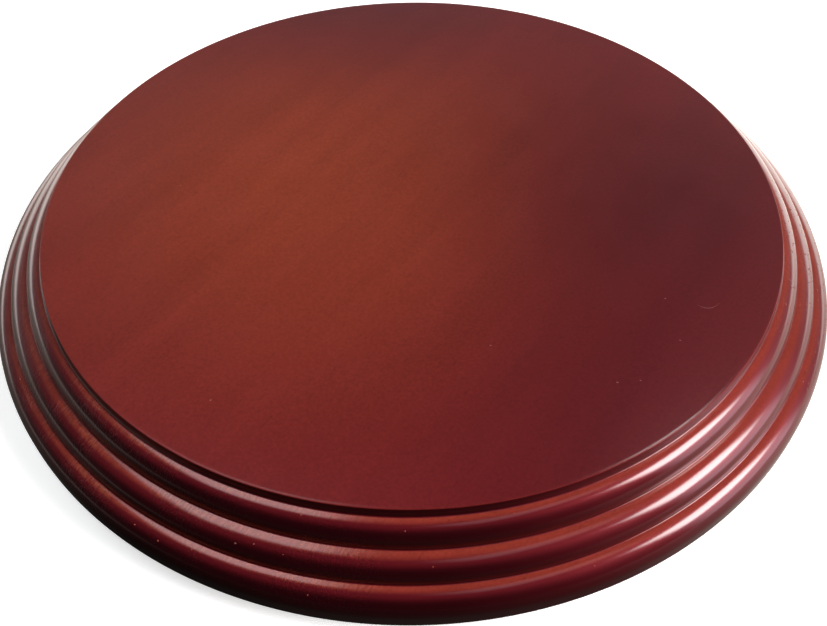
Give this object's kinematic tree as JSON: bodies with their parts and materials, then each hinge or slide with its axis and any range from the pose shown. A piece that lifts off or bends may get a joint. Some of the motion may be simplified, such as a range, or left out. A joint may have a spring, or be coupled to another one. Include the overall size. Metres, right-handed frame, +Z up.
{
  "type": "turntable display stand",
  "caption": "Low round wooden display board with a stepped, beaded edge that turns on a flat ball bearing hidden in a recess underneath, above a disc base on rubber feet.",
  "frame": {"origin": "centre of the plane the rubber feet stand on, under the middle of the board", "axes": "+Z up, along the axis the board turns about; +X to the right and -Y to the front, where the base disc has its screwdriver access hole"},
  "size_m": [0.254, 0.254, 0.0284],
  "materials": {
    "lacquered_wood": "satin red-brown lacquer",
    "fibreboard": "bare",
    "plated_steel": "zinc plated",
    "screw_steel": "yellow zinc plated",
    "cage_plastic": "matte",
    "ball_steel": "polished",
    "rivet_steel": "zinc plated",
    "washer_plastic": "matte",
    "foot_rubber": "matte"
  },
  "bodies": {
    "base": {"base_disc": "fibreboard", "lower_bearing_plate": "plated_steel", "lower_plate_screws": "screw_steel", "centre_rivet": "rivet_steel", "foot_front_left": "foot_rubber", "foot_front_right": "foot_rubber", "foot_back_left": "foot_rubber", "foot_back_right": "foot_rubber", "foot_screws": "screw_steel", "foot_washers": "screw_steel"},
    "turntable": {"display_board": "lacquered_wood", "upper_bearing_plate": "plated_steel", "upper_plate_screws": "screw_steel", "thrust_washer": "washer_plastic"},
    "ball_ring": {"ball_cage": "cage_plastic", "bearing_balls": "ball_steel"}
  },
  "joints": [
    {"name": "board_spin", "type": "hinge", "parent": "base", "child": "turntable", "pos_m": [0, 0, 0.0145], "axis": [0, 0, 1], "continuous": true},
    {"name": "ball_ring_spin", "type": "hinge", "parent": "base", "child": "ball_ring", "pos_m": [0, 0, 0.0145], "axis": [0, 0, 1], "continuous": true}
  ],
  "couplings": [
    {"joint": "ball_ring_spin", "follows": "board_spin", "ratio": 0.5}
  ]
}
